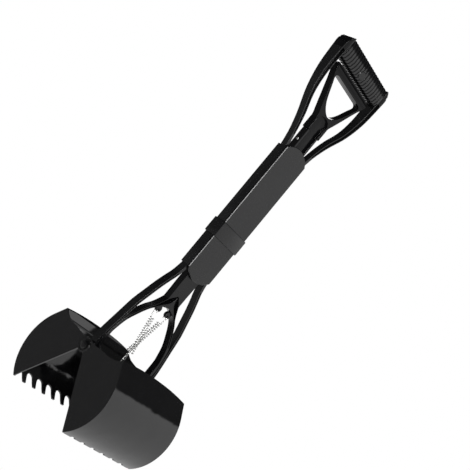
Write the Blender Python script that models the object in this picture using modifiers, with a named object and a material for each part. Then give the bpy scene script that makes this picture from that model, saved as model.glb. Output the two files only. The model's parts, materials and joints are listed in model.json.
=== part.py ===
"""Jaw scooper for pet waste: a long shaft with a D-shaped grip, a squeeze handle
inside it, a pull rod and two toothed half-drum jaws on one hinge rod.

Axes: X runs along the hinge rod, Z up the shaft, -Y is the front.
The origin is the middle of the grip, where a hand holds the scooper up.
Every height below is measured from the hinge rod, which an empty carries
down to its place. The jaws are modelled open, with the squeeze handle
pulled up against the grip.
"""
import math

import bmesh
import bpy
from mathutils import Matrix, Vector

# General fits, in metres
GAP = 0.0003            # between touching pieces
RUN_GAP = 0.0004        # between sliding or turning pieces
OVERRUN = 0.004         # how far a cutter passes the face it cuts
ROUND_STEPS = 18        # sides of a small round piece
WELD = 0.000001         # points this close become one after a cut
FLAT = math.radians(0.1)    # faces that meet at less than this are one face

# Jaws: two halves of one drum, hinged above it
JAW_WIDTH = 0.156
JAW_WALL = 0.0022
PLATE_THICK = 0.0024
DRUM_RADIUS = 0.074
DRUM_DROP = 0.0515      # drum centre below the hinge
RIM_DROP = 0.0285       # end plate corner below the hinge
RIM_ARCH = 0.006        # rise of the wall's upper edge between its corners
JAW_OPEN = math.radians(35.7)
HUB_RADIUS = 0.012
INNER_HUB_RADIUS = 0.0087
LUG_THICK = 0.0024      # cam lugs just inside the end plates
TEETH_PITCHES = 7
TOOTH_DEPTH = 0.016
TOOTH_REACH = 0.0025    # how far the teeth pass the mouth plane
LIP_REACH = 0.0006      # how far the front jaw's lip passes it
GAP_MOUTH = 0.0177      # rear jaw: gap between teeth at the lip
GAP_ROOT = 0.0135
NOTCH_MOUTH = 0.0084    # front jaw: notch that takes the tip of one rear tooth
NOTCH_ROOT = 0.0068
NOTCH_DEPTH = 0.0032
RIB_DROP = 0.0135       # rib on the wall's inner face, below the rim
RIB_SIZE = 0.0016

# Hinge rod and what sits on it
ROD_RADIUS = 0.003
CAP_RADIUS = 0.0066
CAP_DEPTH = 0.0036
WASHER_RADIUS = 0.0076
WASHER_THICK = 0.001

# Cam pins on the fork, and the fork's travel
TRAVEL = 0.020
PIN_RADIUS = 0.0025
PIN_OFFSET = 0.0115     # pin centre in front of or behind the hinge
PIN_OPEN_RISE = 0.0045  # pin centre above the hinge with the jaws open
PIN_HEAD_RADIUS = 0.0036
PIN_HEAD_THICK = 0.001

# Shaft: two rectangular housings end to end, each a tray with a front cover
SHAFT_WIDTH = 0.0585
SHAFT_DEPTH = 0.0212
SHAFT_WALL = 0.0024
BACK_WALL = 0.0030
SHAFT_BOTTOM = 0.177
LOWER_LENGTH = 0.0697   # of the lower housing
UPPER_LENGTH = 0.1563   # of the upper housing
TONGUE_RISE = 0.0125
COVER_ROUND = 0.0008

# Collar round the joint of the two housings
COLLAR_WIDTH = 0.0618
COLLAR_DEPTH = 0.0248
COLLAR_HEIGHT = 0.0256

# Lower rails, from the shaft to the hinge
LOW_RAIL_WIDTH = 0.0046
LOW_RAIL_DEPTH = 0.0132
LOW_EYE_RADIUS = 0.008
LOW_EYE_CENTRE = 0.06905

# Upper rails and the bar of the D grip
TOP_RAIL_WIDTH = 0.010
TOP_RAIL_DEPTH = 0.0105
TOP_RAIL_CENTRE = 0.0685
D_RISE = 0.185          # top of the D above the shaft
D_CORNER = 0.019
BAR_TALL = 0.016
BAR_DEEP = 0.007
RAIL_WEB = 0.0045       # of every rail, between the channels in its front and back
GROOVE_LIP = 0.0013

# Ribbed grip
GRIP_LENGTH = 0.1262
GRIP_TALL = 0.0360
GRIP_DEEP = 0.0250
GRIP_DROP = 0.0185      # middle of the grip below the top of the D
RIB_PITCH = 0.0068
RIB_WIDTH = 0.0022
RIB_HEIGHT = 0.0013
GRIP_SIDES = 12
MEDAL_LONG = 0.0160
MEDAL_TALL = 0.0125
MEDAL_THICK = 0.0016
MEDAL_SIDE = -0.0045
MEDAL_DROP = 0.0075
MEDAL_TILT = math.radians(13)

# Pull rod and squeeze handle
STEM_WIDTH = 0.030
STEM_DEPTH = 0.012
STEM_RISE = 0.044       # top of the stem above the shaft
STEM_CHANNEL = 0.0240   # width of the channel in the upper stem's front
STEM_WEB = 0.0040       # behind this channel and the one in the fork's front
CHANNEL_LENGTH = 0.077
FORK_DROP = 0.027       # shoulders of the fork below the shaft
CROSSHEAD_THICK = 0.0046
CROSSHEAD_TOP = 0.0272
CROSSHEAD_FACE = 0.0642 # outer face of the crosshead, from the middle
TANG_DEPTH = 0.0045
TANG_LENGTH = 0.042
TANG_PIN = 0.0014
HANDLE_DEPTH = 0.012
HANDLE_STEM = 0.0335
HANDLE_NECK_DEPTH = 0.0138
BAR_RADIUS = 0.0078
SQUEEZE_GAP = 0.0027    # between the squeeze handle and the grip
EAR_RADIUS = 0.0054
EAR_THICK = 0.005
EAR_OFFSET = 0.012

# Springs
WIRE = 0.0014
COIL_RADIUS = 0.0035
COIL_TURNS = 16
COIL_STEPS = 8
COIL_BOTTOM = 0.0273
COIL_TAIL = 0.0100      # straight wire between the coil and the fork's ear
HOOK_SPREAD = 0.0012    # lower hook, to the side of the middle

# Fasteners
SCREW_HEAD = 0.0028
SCREW_HEAD_THICK = 0.0016
SCREW_SHANK = 0.00125
SCREW_LENGTH = 0.0085
POST_RADIUS = 0.0026
POST_OFFSET = 0.0215
POST_INSET_BOTTOM = 0.037   # lowest posts above the foot of the shaft
POST_INSET_JOINT = 0.0083   # posts on both sides of the joint
POST_INSET_TOP = 0.031      # highest posts below the top of the shaft

half_jaw = JAW_WIDTH / 2
plate_inner = half_jaw - PLATE_THICK
lug_outer = plate_inner - GAP
lug_inner = lug_outer - LUG_THICK
half_width = SHAFT_WIDTH / 2
front_face = -SHAFT_DEPTH / 2
cover_back = front_face + SHAFT_WALL
back_face = SHAFT_DEPTH / 2
back_inner = back_face - BACK_WALL
pin_closed_rise = PIN_OPEN_RISE - TRAVEL
channel_floor = STEM_DEPTH / 2 - STEM_WEB
tang_middle = channel_floor - GAP - TANG_DEPTH / 2
ear_loop = EAR_THICK / 2 + RUN_GAP + WIRE / 2

# Heights above the hinge rod that follow from the lengths above
shaft_joint = SHAFT_BOTTOM + LOWER_LENGTH
shaft_top = shaft_joint + UPPER_LENGTH
d_top = shaft_top + D_RISE
grip_centre = d_top - GRIP_DROP
bar_height = grip_centre - GRIP_TALL / 2 - SQUEEZE_GAP - BAR_RADIUS
stem_top = shaft_top + STEM_RISE
fork_top = SHAFT_BOTTOM - FORK_DROP
low_posts = (SHAFT_BOTTOM + POST_INSET_BOTTOM, shaft_joint - POST_INSET_JOINT)
high_posts = (shaft_joint + POST_INSET_JOINT, shaft_top - POST_INSET_TOP)


# Collections and materials

def clear_scene():
    for thing in list(bpy.data.objects):
        bpy.data.objects.remove(thing, do_unlink=True)


def make_collection(name):
    group = bpy.data.collections.new(name)
    bpy.context.scene.collection.children.link(group)
    return group


def make_material(name, colour, roughness, metallic=0.0):
    material = bpy.data.materials.new(name)
    material.use_nodes = True
    shader = material.node_tree.nodes["Principled BSDF"]
    shader.inputs["Base Color"].default_value = (*colour, 1.0)
    shader.inputs["Roughness"].default_value = roughness
    shader.inputs["Metallic"].default_value = metallic
    material.diffuse_color = (*colour, 1.0)
    return material


clear_scene()
scooper = make_collection("pooper_scooper")
cutters = make_collection("cutters")
hinge_middle = bpy.data.objects.new("hinge_middle", None)
hinge_middle.location = (0, 0, -grip_centre)
scooper.objects.link(hinge_middle)

BLACK = (0.012, 0.012, 0.013)
SOFT_BLACK = (0.020, 0.020, 0.021)
STEEL = (0.62, 0.62, 0.60)
DARK_STEEL = (0.22, 0.22, 0.22)


# Mesh helpers

FRONT = Matrix(((1, 0, 0, 0), (0, 0, -1, 0), (0, 1, 0, 0), (0, 0, 0, 1)))
SIDE = Matrix(((0, 0, 1, 0), (1, 0, 0, 0), (0, 1, 0, 0), (0, 0, 0, 1)))
TOP = Matrix.Identity(4)


def smooth_edges(mesh, angle=math.radians(35)):
    mesh.shade_smooth()
    mesh.set_sharp_from_angle(angle=angle)


def as_cutter(thing):
    for group in list(thing.users_collection):
        group.objects.unlink(thing)
    cutters.objects.link(thing)
    thing.hide_render = True
    thing.display_type = "WIRE"
    return thing


def add_object(name, mesh, material=None):
    thing = bpy.data.objects.new(name, mesh)
    thing.parent = hinge_middle
    scooper.objects.link(thing)
    if material:
        mesh.materials.append(material)
    return thing


def mesh_from_bmesh(name, shape):
    bmesh.ops.recalc_face_normals(shape, faces=shape.faces)
    mesh = bpy.data.meshes.new(name)
    shape.to_mesh(mesh)
    shape.free()
    return mesh


def mesh_from_curve(thing, name):
    bpy.context.view_layer.update()
    graph = bpy.context.evaluated_depsgraph_get()
    mesh = bpy.data.meshes.new_from_object(thing.evaluated_get(graph))
    mesh.name = name
    curve = thing.data
    bpy.data.objects.remove(thing, do_unlink=True)
    bpy.data.curves.remove(curve)
    shape = bmesh.new()
    shape.from_mesh(mesh)
    bmesh.ops.remove_doubles(shape, verts=shape.verts, dist=WIRE / 100)
    bmesh.ops.recalc_face_normals(shape, faces=shape.faces)
    shape.to_mesh(mesh)
    shape.free()
    return mesh


def box(name, low, high, material=None):
    low = Vector(low)
    high = Vector(high)
    shape = bmesh.new()
    bmesh.ops.create_cube(shape, size=1.0)
    spread = Matrix.Diagonal((*(high - low), 1.0))
    bmesh.ops.transform(shape, matrix=Matrix.Translation((low + high) / 2) @ spread, verts=shape.verts)
    return add_object(name, mesh_from_bmesh(name, shape), material)


def cylinder(name, radius, start, end, material=None, steps=ROUND_STEPS):
    start = Vector(start)
    end = Vector(end)
    shape = bmesh.new()
    bmesh.ops.create_cone(shape, cap_ends=True, segments=steps, radius1=radius, radius2=radius,
                          depth=(end - start).length)
    turn = (end - start).to_track_quat("Z", "Y").to_matrix().to_4x4()
    bmesh.ops.transform(shape, matrix=Matrix.Translation((start + end) / 2) @ turn, verts=shape.verts)
    mesh = mesh_from_bmesh(name, shape)
    smooth_edges(mesh)
    return add_object(name, mesh, material)


def merge_flat_faces(mesh):
    """One face in place of the triangles that fill a flat end."""
    shape = bmesh.new()
    shape.from_mesh(mesh)
    bmesh.ops.dissolve_limit(shape, angle_limit=FLAT, verts=shape.verts, edges=shape.edges)
    shape.to_mesh(mesh)
    shape.free()


def plate(name, loops, thickness, plane, centre=0.0, material=None):
    """Closed outlines, filled and extruded to a thickness across their plane."""
    curve = bpy.data.curves.new(name, "CURVE")
    curve.dimensions = "2D"
    curve.fill_mode = "BOTH"
    curve.extrude = thickness / 2
    for loop in loops:
        spline = curve.splines.new("POLY")
        spline.points.add(len(loop) - 1)
        for point, (u, v) in zip(spline.points, loop):
            point.co = (u, v, 0, 1)
        spline.use_cyclic_u = True
    mesh = mesh_from_curve(add_object(name, curve), name)
    merge_flat_faces(mesh)
    normal = plane.to_3x3() @ Vector((0, 0, 1))
    shift = normal * centre * (-1 if plane == FRONT else 1)
    mesh.transform(Matrix.Translation(shift) @ plane)
    smooth_edges(mesh)
    return add_object(name, mesh, material)


def boolean(thing, other, operation):
    modifier = thing.modifiers.new(operation.lower() + "_" + other.name, "BOOLEAN")
    modifier.operation = operation
    modifier.object = as_cutter(other)
    weld = thing.modifiers.new("weld_" + other.name, "WELD")
    weld.merge_threshold = WELD


def cut(thing, *others):
    for other in others:
        boolean(thing, other, "DIFFERENCE")


def join(thing, *others):
    for other in others:
        boolean(thing, other, "UNION")


def round_edges(thing, width, segments=2):
    modifier = thing.modifiers.new("edges", "BEVEL")
    modifier.width = width
    modifier.segments = segments
    modifier.limit_method = "ANGLE"
    modifier.angle_limit = math.radians(50)


def turned(name, profile, steps=ROUND_STEPS):
    """A profile of (radius, height) from the top of the axis down, turned about Z."""
    mesh = bpy.data.meshes.new(name)
    points = [(radius, 0, height) for radius, height in profile]
    mesh.from_pydata(points, [(i, i + 1) for i in range(len(points) - 1)], [])
    thing = add_object(name, mesh)
    modifier = thing.modifiers.new("turn", "SCREW")
    modifier.steps = steps
    modifier.render_steps = steps
    modifier.use_merge_vertices = True
    modifier.merge_threshold = WIRE / 100
    bpy.context.view_layer.update()
    graph = bpy.context.evaluated_depsgraph_get()
    solid = bpy.data.meshes.new_from_object(thing.evaluated_get(graph))
    bpy.data.objects.remove(thing, do_unlink=True)
    shape = bmesh.new()
    shape.from_mesh(solid)
    bmesh.ops.remove_doubles(shape, verts=shape.verts, dist=WIRE / 100)
    bmesh.ops.recalc_face_normals(shape, faces=shape.faces)
    shape.to_mesh(solid)
    shape.free()
    solid.name = name
    smooth_edges(solid)
    return solid


# Outline helpers

def arc(centre, radius, start, end, steps):
    """Points of an arc, angles in degrees."""
    points = []
    for i in range(steps + 1):
        angle = math.radians(start + (end - start) * i / steps)
        points.append((centre[0] + radius * math.cos(angle), centre[1] + radius * math.sin(angle)))
    return points


def smooth_line(points, steps):
    """Points of a Catmull-Rom curve through the given points."""
    line = [Vector(p) for p in points]
    line = [line[0] * 2 - line[1]] + line + [line[-1] * 2 - line[-2]]
    result = []
    for a, b, c, d in zip(line, line[1:], line[2:], line[3:]):
        for i in range(steps):
            t = i / steps
            value = (b * 2 + (c - a) * t + (a * 2 - b * 5 + c * 4 - d) * t * t
                     + (b * 3 - a - c * 3 + d) * t * t * t) / 2
            result.append(tuple(value))
    return result + [tuple(line[-2])]


def flip(points):
    """The same outline on the other side of the upright axis."""
    return [(-u, v) for u, v in reversed(points)]


def ribbon(points, steps):
    """Outline of a strip along a smooth line through (u, v, width) points."""
    line = [Vector(p) for p in smooth_line(points, steps)]
    left = []
    right = []
    for i, point in enumerate(line):
        ahead = line[min(i + 1, len(line) - 1)] - line[max(i - 1, 0)]
        side = Vector((-ahead.y, ahead.x)).normalized() * point.z / 2
        left.append((point.x + side.x, point.y + side.y))
        right.append((point.x - side.x, point.y - side.y))
    return left + right[::-1]


def narrower(points, amount):
    return [(u, v, width - amount) for u, v, width in points]


def grooves(name, points, steps, depth, width_lost):
    """Cutters for a deep channel along the front and the back of a strip."""
    result = []
    for face in (-1, 1):
        loop = ribbon(narrower(points, width_lost), steps)
        thick = (depth - RAIL_WEB) / 2 + OVERRUN
        centre = face * (RAIL_WEB + thick) / 2
        result.append(plate(f"{name}_groove_{face + 2}", [loop], thick, FRONT, centre))
    return result


# Jaws

def turn_point(point, angle):
    y, z = point
    return (y * math.cos(angle) - z * math.sin(angle), y * math.sin(angle) + z * math.cos(angle))


def drum_outline(reach):
    """Half of the drum seen along the hinge, closed, on the +Y side.

    Its wall stands upright above the drum's centre, and its lip passes the mouth plane by reach.
    """
    lip_angle = -90 - math.degrees(reach / DRUM_RADIUS)
    points = arc((0, -DRUM_DROP), DRUM_RADIUS, lip_angle, 0, 18)
    points.append((DRUM_RADIUS, RIM_ARCH - RIM_DROP))
    unit = DRUM_RADIUS
    top_shares = ((0.945, -0.385), (0.858, -0.370), (0.765, -0.342), (0.650, -0.280), (0.560, -0.226),
                  (0.470, -0.160), (0.385, -0.107), (0.305, -0.063), (0.240, -0.025), (0.190, 0.022),
                  (0.150, 0.070))
    points += [(u * unit, v * unit) for u, v in top_shares]
    points += arc((0, 0), HUB_RADIUS, 32, 268, 14)
    lip = -DRUM_DROP - DRUM_RADIUS * 0.96
    points += [(GAP / 2, -HUB_RADIUS), (GAP / 2, lip), (-reach, lip)]
    return points


def hollow_outline():
    inner = DRUM_RADIUS - JAW_WALL
    reach = DRUM_RADIUS / 2
    points = arc((0, -DRUM_DROP), inner, -90, 0, 14)
    return points + [(inner, HUB_RADIUS * 2), (-reach, HUB_RADIUS * 2), (-reach, -DRUM_DROP - inner)]


def lug_outline():
    """Cam lug seen along the hinge, closed, on the +Y side."""
    unit = PIN_OFFSET
    shares = ((0.06, -1.88), (1.28, -1.88), (1.56, -1.60), (1.60, -0.36), (1.40, -0.10),
              (1.05, 0.17), (0.74, 0.42), (0.50, 0.58))
    return [(u * unit, v * unit) for u, v in shares]


def slot_outline():
    """The path that a cam pin takes across its jaw, as a groove outline."""
    half = PIN_RADIUS + RUN_GAP
    steps = 10
    path = []
    for i in range(steps + 1):
        share = i / steps
        rise = pin_closed_rise + TRAVEL * share
        path.append(Vector(turn_point((PIN_OFFSET, rise), -JAW_OPEN * share)))
    left = []
    right = []
    for i, point in enumerate(path):
        ahead = path[min(i + 1, steps)] - path[max(i - 1, 0)]
        side = Vector((-ahead.y, ahead.x)).normalized() * half
        left.append(tuple(point + side))
        right.append(tuple(point - side))
    start = math.degrees(math.atan2(left[0][1] - path[0].y, left[0][0] - path[0].x))
    end = math.degrees(math.atan2(right[-1][1] - path[-1].y, right[-1][0] - path[-1].x))
    near_cap = arc(path[0], half, start, start + 180, 8)[1:-1]
    far_cap = arc(path[-1], half, end, end + 180, 8)[1:-1]
    return list(reversed(left)) + near_cap + right + far_cap


def mirrored(points, side):
    """An outline for the rear jaw, or its mirror image for the front one."""
    return points if side > 0 else flip(points)


def gap_outline(centre):
    """Rear jaw: a gap between two teeth, wide at the lip, arched at its root, in the XY plane."""
    shoulder = TOOTH_DEPTH - GAP_ROOT / 2
    low = -TOOTH_REACH - OVERRUN
    points = [(centre - GAP_MOUTH / 2, low), (centre + GAP_MOUTH / 2, low), (centre + GAP_ROOT / 2, shoulder)]
    return points + arc((centre, shoulder), GAP_ROOT / 2, 0, 180, 6)[1:]


def notch_outline(centre):
    """Front jaw: a shallow notch in the lip, in the XY plane."""
    low = LIP_REACH + OVERRUN
    return [(centre - NOTCH_MOUTH / 2, low), (centre + NOTCH_MOUTH / 2, low),
            (centre + NOTCH_ROOT / 2, -NOTCH_DEPTH), (centre - NOTCH_ROOT / 2, -NOTCH_DEPTH)]


def tooth_gaps(name, side):
    """Rear jaw: a gap at every half pitch. Front jaw: a notch at every whole pitch."""
    pitch = JAW_WIDTH / TEETH_PITCHES
    if side > 0:
        outlines = [gap_outline(-half_jaw + pitch * (i + 0.5)) for i in range(TEETH_PITCHES)]
    else:
        outlines = [notch_outline(-half_jaw + pitch * i) for i in range(1, TEETH_PITCHES)]
    height = -DRUM_DROP - DRUM_RADIUS
    return [plate(f"{name}_gap_{i}", [loop], TOOTH_DEPTH * 2, TOP, height) for i, loop in enumerate(outlines)]


def rim_cutter(name, side):
    """Above the arched upper edge of the wall."""
    low = -RIM_DROP
    steps = 12
    edge = []
    for i in range(steps + 1):
        share = i / steps * 2 - 1
        edge.append((share * half_jaw, low + RIM_ARCH * (1 - abs(share) ** 2.4)))
    reach = half_jaw + OVERRUN
    top = low + HUB_RADIUS * 2
    loop = [(-reach, low)] + edge + [(reach, low), (reach, top), (-reach, top)]
    thickness = JAW_WALL * 1.5 + OVERRUN
    return plate(name, [loop], thickness, FRONT, side * (DRUM_RADIUS - thickness / 2 + OVERRUN))


def turn_about_hinge(thing, angle):
    """Turns a piece and all its cutters about the hinge rod."""
    thing.rotation_euler = (angle, 0, 0)
    for modifier in thing.modifiers:
        if modifier.type == "BOOLEAN":
            turn_about_hinge(modifier.object, angle)


def make_jaw(name, side, material):
    """One jaw, modelled closed and then turned open. side is +1 for the rear, -1 for the front."""
    reach = TOOTH_REACH if side > 0 else LIP_REACH
    jaw = plate(name, [mirrored(drum_outline(reach), side)], JAW_WIDTH, SIDE, 0, material)
    cut(jaw, plate(name + "_hollow", [mirrored(hollow_outline(), side)], plate_inner * 2, SIDE))
    cut(jaw, rim_cutter(name + "_rim", side))
    inner = DRUM_RADIUS - JAW_WALL
    tooth_limit = half_jaw - (JAW_WIDTH / TEETH_PITCHES - GAP_ROOT) / 2 - GAP
    for end in (-1, 1):
        tag = "left" if end < 0 else "right"
        lug = plate(f"{name}_{tag}_lug", [mirrored(lug_outline(), side)], LUG_THICK + GAP * 2,
                    SIDE, end * (lug_inner + LUG_THICK / 2 + GAP))
        if side > 0:
            hub_hole = cylinder(f"{name}_{tag}_hub_space", HUB_RADIUS + RUN_GAP, (end * lug_outer, 0, 0),
                                (end * (half_jaw + OVERRUN), 0, 0), steps=26)
            hub = cylinder(f"{name}_{tag}_hub", INNER_HUB_RADIUS, (end * lug_inner, 0, 0),
                           (end * lug_outer, 0, 0), steps=24)
            join(jaw, lug)
            cut(jaw, hub_hole)
            join(jaw, hub)
        else:
            cut(lug, cylinder(f"{name}_{tag}_hub_space", INNER_HUB_RADIUS + RUN_GAP,
                              (end * (lug_inner - OVERRUN), 0, 0),
                              (end * (half_jaw + OVERRUN), 0, 0), steps=24))
            join(jaw, lug)
        slot_depth = LUG_THICK + OVERRUN
        cut(jaw, plate(f"{name}_{tag}_slot", [mirrored(slot_outline(), side)], slot_depth, SIDE,
                       end * (lug_outer + GAP / 2 - slot_depth / 2)))
        one = (end * tooth_limit, side * GAP / 2, -DRUM_DROP * 3)
        other = (end * (half_jaw + OVERRUN), -side * DRUM_RADIUS / 2, -HUB_RADIUS * 1.2)
        cut(jaw, box(f"{name}_{tag}_mouth", [min(pair) for pair in zip(one, other)],
                     [max(pair) for pair in zip(one, other)]))
    cut(jaw, cylinder(name + "_bore", ROD_RADIUS + RUN_GAP, (-half_jaw - OVERRUN, 0, 0),
                      (half_jaw + OVERRUN, 0, 0)))
    cut(jaw, *tooth_gaps(name, side))
    rib_drop = RIM_DROP + RIB_DROP
    join(jaw, cylinder(name + "_rib", RIB_SIZE, (-plate_inner - GAP, side * inner, -rib_drop),
                       (plate_inner + GAP, side * inner, -rib_drop), steps=8))
    turn_about_hinge(jaw, side * JAW_OPEN)
    return jaw


# Hinge rod and what sits on it

def make_hinge(material, rubber):
    rod_end = half_jaw + CAP_DEPTH * 0.6
    cylinder("hinge_rod", ROD_RADIUS, (-rod_end, 0, 0), (rod_end, 0, 0), material)
    inner = ROD_RADIUS + GAP
    dome = CAP_DEPTH * 0.35
    profile = [(0, CAP_DEPTH), (CAP_RADIUS * 0.45, CAP_DEPTH - dome * 0.12),
               (CAP_RADIUS * 0.78, CAP_DEPTH - dome * 0.5), (CAP_RADIUS, CAP_DEPTH - dome * 1.3),
               (CAP_RADIUS, GAP), (inner, GAP), (inner, CAP_DEPTH * 0.68), (0, CAP_DEPTH * 0.68)]
    cap = turned("rod_cap", profile)
    cap.materials.append(material)
    for end, tag in ((-1, "left"), (1, "right")):
        thing = add_object("rod_cap_" + tag, cap)
        thing.location = (end * half_jaw, 0, 0)
        thing.rotation_euler = (0, end * math.pi / 2, 0)
        face = lug_inner - GAP
        washer = cylinder("washer_" + tag, WASHER_RADIUS, (end * face, 0, 0),
                          (end * (face - WASHER_THICK), 0, 0), rubber)
        cut(washer, cylinder("washer_bore_" + tag, ROD_RADIUS + RUN_GAP, (end * (face + OVERRUN), 0, 0),
                             (end * (face - OVERRUN), 0, 0)))


# Shaft housings

def tray(name, bottom, top, material):
    """The back half of a housing: a back wall and two side walls, open to the front and at its ends."""
    body = box(name, (-half_width, cover_back + GAP, bottom), (half_width, back_face, top), material)
    round_edges(body, COVER_ROUND * 1.5)
    inner = half_width - SHAFT_WALL
    cut(body, box(name + "_hollow", (-inner, cover_back - OVERRUN, bottom - OVERRUN),
                  (inner, back_inner, top + OVERRUN)))
    return body


def cover(name, plain_end, tongue_end, material):
    """The front half of a housing: a plate whose one end is a rounded tongue over the rails."""
    sign = 1 if tongue_end > plain_end else -1
    half = half_width
    radius = (half * half + TONGUE_RISE * TONGUE_RISE) / (2 * TONGUE_RISE)
    spread = math.degrees(math.asin(half / radius))
    middle = tongue_end + sign * (TONGUE_RISE - radius)
    tip = arc((0, middle), radius, 90 * sign + spread * sign, 90 * sign - spread * sign, 12)
    outline = tip + [(half, plain_end), (-half, plain_end)]
    body = plate(name, [outline], cover_back - front_face, FRONT, (cover_back + front_face) / 2, material)
    round_edges(body, COVER_ROUND, 1)
    return body


def post(name, x, z):
    """A screw post on the back of a cover."""
    return cylinder(name, POST_RADIUS, (x, cover_back - GAP, z), (x, back_inner - GAP, z), steps=16)


def screw_mesh(material):
    """A pan head screw, its head's top at the origin, pointing down."""
    socket = SCREW_HEAD * 0.42
    profile = [(0, -SCREW_HEAD_THICK * 0.5), (socket, -SCREW_HEAD_THICK * 0.5), (socket, 0),
               (SCREW_HEAD * 0.82, 0), (SCREW_HEAD, -SCREW_HEAD_THICK * 0.35),
               (SCREW_HEAD, -SCREW_HEAD_THICK), (SCREW_SHANK, -SCREW_HEAD_THICK),
               (SCREW_SHANK, -SCREW_LENGTH + SCREW_SHANK),
               (0, -SCREW_LENGTH)]
    mesh = turned("cover_screw", profile, 10)
    mesh.materials.append(material)
    return mesh


def fasten(housing, lid, heights, screw, numbers):
    """Posts on the cover, counterbored holes in the tray, and the screws in them."""
    head_seat = back_face - SCREW_HEAD_THICK - GAP * 2
    for z in heights:
        for side in (-1, 1):
            x = side * POST_OFFSET
            number = next(numbers)
            column = post(f"post_{number}", x, z)
            cut(column, cylinder(f"post_hole_{number}", SCREW_SHANK + GAP, (x, back_inner + OVERRUN, z),
                                 (x, back_face - SCREW_LENGTH - GAP * 4, z), steps=14))
            join(lid, column)
            cut(housing, cylinder(f"head_hole_{number}", SCREW_HEAD + GAP, (x, head_seat, z),
                                  (x, back_face + OVERRUN, z), steps=16),
                cylinder(f"shank_hole_{number}", SCREW_SHANK + GAP, (x, back_inner - OVERRUN / 2, z),
                         (x, back_face, z), steps=14))
            thing = add_object(f"cover_screw_{number}", screw)
            thing.location = (x, back_face - GAP, z)
            thing.rotation_euler = (-math.pi / 2, 0, 0)


def lower_rail_path(side):
    """Middle and width of one lower rail, from inside the shaft to the hinge."""
    inside = half_width - LOW_RAIL_WIDTH / 2 - GAP
    out = LOW_EYE_CENTRE
    rise = SHAFT_BOTTOM
    shares = ((0.449, 0.898), (0.529, 0.825), (0.627, 0.732), (0.727, 0.616), (0.818, 0.508),
              (0.878, 0.384), (0.905, 0.328), (0.935, 0.266), (0.963, 0.203), (0.985, 0.145),
              (1.0, 0.080), (1.0, 0))
    points = [(inside, rise * 1.075), (inside, rise * 1.01)] + [(out * u, rise * v) for u, v in shares]
    return [(side * u, v, LOW_RAIL_WIDTH) for u, v in points]


def make_lower_housing(material):
    body = tray("lower_housing", SHAFT_BOTTOM, shaft_joint - GAP / 2, material)
    for side, tag in ((1, "right"), (-1, "left")):
        points = lower_rail_path(side)
        eye = side * LOW_EYE_CENTRE
        half = LOW_RAIL_WIDTH / 2
        rail = plate("lower_rail_" + tag, [ribbon(points, 2)], LOW_RAIL_DEPTH, FRONT)
        cut(rail, *grooves("lower_rail_" + tag, points[2:-1], 2, LOW_RAIL_DEPTH, GROOVE_LIP * 2))
        join(body, rail, cylinder("lower_eye_" + tag, LOW_EYE_RADIUS, (eye - half, 0, 0),
                                  (eye + half, 0, 0), steps=24))
        cut(body, cylinder("lower_bore_" + tag, ROD_RADIUS + RUN_GAP, (eye - half - OVERRUN, 0, 0),
                           (eye + half + OVERRUN, 0, 0)))
    return body


def upper_rail_path(side):
    """Middle and width of one rail of the D, from inside the shaft to the top."""
    wide = TOP_RAIL_WIDTH
    inside = half_width - wide / 4 - GAP
    shares = ((0.400, 0.011, 0.50), (0.463, 0.114, 0.50), (0.549, 0.211, 0.60), (0.655, 0.305, 0.70),
              (0.780, 0.392, 0.72), (0.864, 0.465, 0.78), (0.930, 0.551, 0.88), (0.972, 0.632, 0.96),
              (0.993, 0.714, 1.0), (1.0, 0.822, 1.0), (1.0, 1.0, 1.0))
    points = [(inside, shaft_top - wide * 1.6, wide / 2), (inside, shaft_top - wide / 2, wide / 2)]
    points += [(TOP_RAIL_CENTRE * u, shaft_top + D_RISE * v, wide * w) for u, v, w in shares]
    return [(side * u, v, w) for u, v, w in points]


def corner_cutter(name, side):
    """Outside of the D's rounded top corner."""
    outer = TOP_RAIL_CENTRE + TOP_RAIL_WIDTH / 2
    centre = (outer - D_CORNER, d_top - D_CORNER)
    round_part = arc(centre, D_CORNER, 0, 90, 8)
    reach = outer + OVERRUN
    top = d_top + OVERRUN
    loop = round_part + [(centre[0], top), (reach, top), (reach, centre[1])]
    return plate(name, [[(side * u, v) for u, v in loop]], GRIP_DEEP * 2, FRONT)


def rail_side_view(name, side):
    """Side view of one rail of the D: it deepens from the shaft up to the grip."""
    least = TOP_RAIL_DEPTH / 2
    most = GRIP_DEEP / 2
    steps = 8
    right = [(least, shaft_top - TOP_RAIL_WIDTH * 2)]
    for i in range(steps + 1):
        share = i / steps
        right.append((least + (most - least) * share ** 2.4, shaft_top + D_RISE * share))
    right.append((most, d_top + OVERRUN))
    middle = side * (TOP_RAIL_CENTRE / 2 + TOP_RAIL_WIDTH)
    return plate(name, [right + flip(right)], TOP_RAIL_CENTRE, SIDE, middle)


def make_upper_housing(material):
    body = tray("upper_housing", shaft_joint + GAP / 2, shaft_top, material)
    for side, tag in ((1, "right"), (-1, "left")):
        points = upper_rail_path(side)
        rail = plate("upper_rail_" + tag, [ribbon(points, 2)], GRIP_DEEP, FRONT)
        boolean(rail, rail_side_view("rail_side_" + tag, side), "INTERSECT")
        cut(rail, corner_cutter("corner_" + tag, side))
        channel = points[3:-1] + [(side * TOP_RAIL_CENTRE, d_top - D_CORNER / 2, TOP_RAIL_WIDTH)]
        cut(rail, *grooves("upper_rail_" + tag, channel, 2, GRIP_DEEP, GROOVE_LIP * 2))
        join(body, rail)
    half = TOP_RAIL_CENTRE - TOP_RAIL_WIDTH / 4
    join(body, box("grip_bar", (-half, -BAR_DEEP / 2, grip_centre - BAR_TALL / 2),
                   (half, BAR_DEEP / 2, grip_centre + BAR_TALL / 2)))
    return body


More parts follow.
